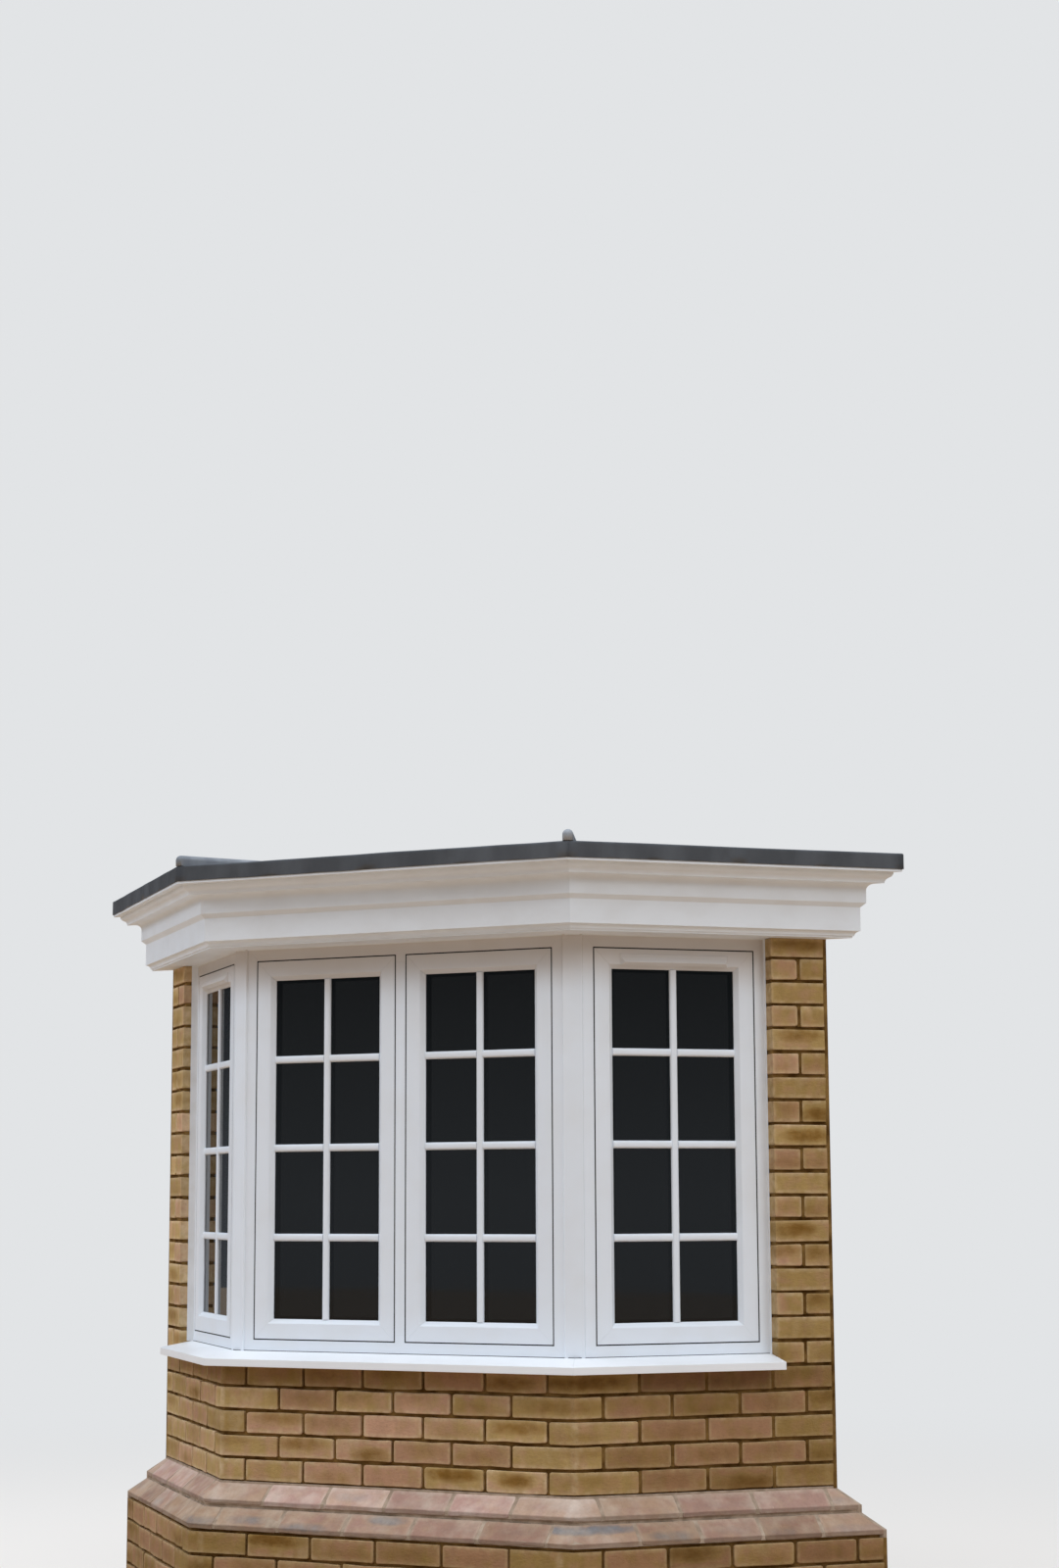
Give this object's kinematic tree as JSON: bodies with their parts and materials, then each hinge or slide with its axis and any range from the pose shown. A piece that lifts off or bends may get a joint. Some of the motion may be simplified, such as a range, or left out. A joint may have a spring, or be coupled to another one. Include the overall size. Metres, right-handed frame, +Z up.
{
  "type": "brick bay window",
  "caption": "Three-sided bay window: brick base with chamfered plinth, white flush casements, mitred cornice and a flat lead roof, open at the back.",
  "frame": {"origin": "on the ground, under the middle of the whole bay's box", "axes": "+X along the house wall, +Y from the front of the bay into the house, +Z up"},
  "size_m": [3.025, 0.8067, 2.5491],
  "materials": {
    "yellow_brick": "rough buff and yellow stock brick with pink and brown blooms",
    "plinth_brick": "rough pinkish chamfered plinth brick",
    "plaster": "matt plastered blockwork",
    "concrete": "plain floated concrete",
    "painted_board": "white satin painted board",
    "white_pvc": "white low gloss window profile",
    "window_glass": "clear sealed double glazing",
    "painted_moulding": "warm white painted moulding",
    "sawn_timber": "sawn softwood",
    "lead": "dull dark grey lead sheet"
  },
  "bodies": {
    "root": {"brick_piers": "yellow_brick", "ceiling_board": "plaster", "corner_post_left": "white_pvc", "corner_post_right": "white_pvc", "cornice_front": "painted_moulding", "cornice_left": "painted_moulding", "cornice_right": "painted_moulding", "floor_slab": "concrete", "glass_front": "window_glass", "glass_splays": "window_glass", "head_beam_front": "sawn_timber", "head_beam_left": "sawn_timber", "head_beam_right": "sawn_timber", "inner_leaf_front": "plaster", "inner_leaf_left": "plaster", "inner_leaf_right": "plaster", "jamb_linings": "plaster", "lead_rolls": "lead", "lead_sheet_front": "lead", "lead_sheet_left": "lead", "lead_sheet_right": "lead", "lower_wall_front": "yellow_brick", "lower_wall_left": "yellow_brick", "lower_wall_right": "yellow_brick", "plinth_front": "plinth_brick", "plinth_left": "plinth_brick", "plinth_right": "plinth_brick", "roof_deck": "sawn_timber", "roof_joists": "sawn_timber", "sash_front_left": "white_pvc", "sash_front_right": "white_pvc", "sash_splay_left": "white_pvc", "sash_splay_right": "white_pvc", "upper_wall_front": "yellow_brick", "upper_wall_left": "yellow_brick", "upper_wall_right": "yellow_brick", "vent_hoods": "white_pvc", "wall_ledger": "sawn_timber", "window_board": "painted_board", "window_frame_front": "white_pvc", "window_frame_left": "white_pvc", "window_frame_right": "white_pvc", "window_sill_front": "white_pvc", "window_sill_left": "white_pvc", "window_sill_right": "white_pvc"}
  },
  "joints": []
}
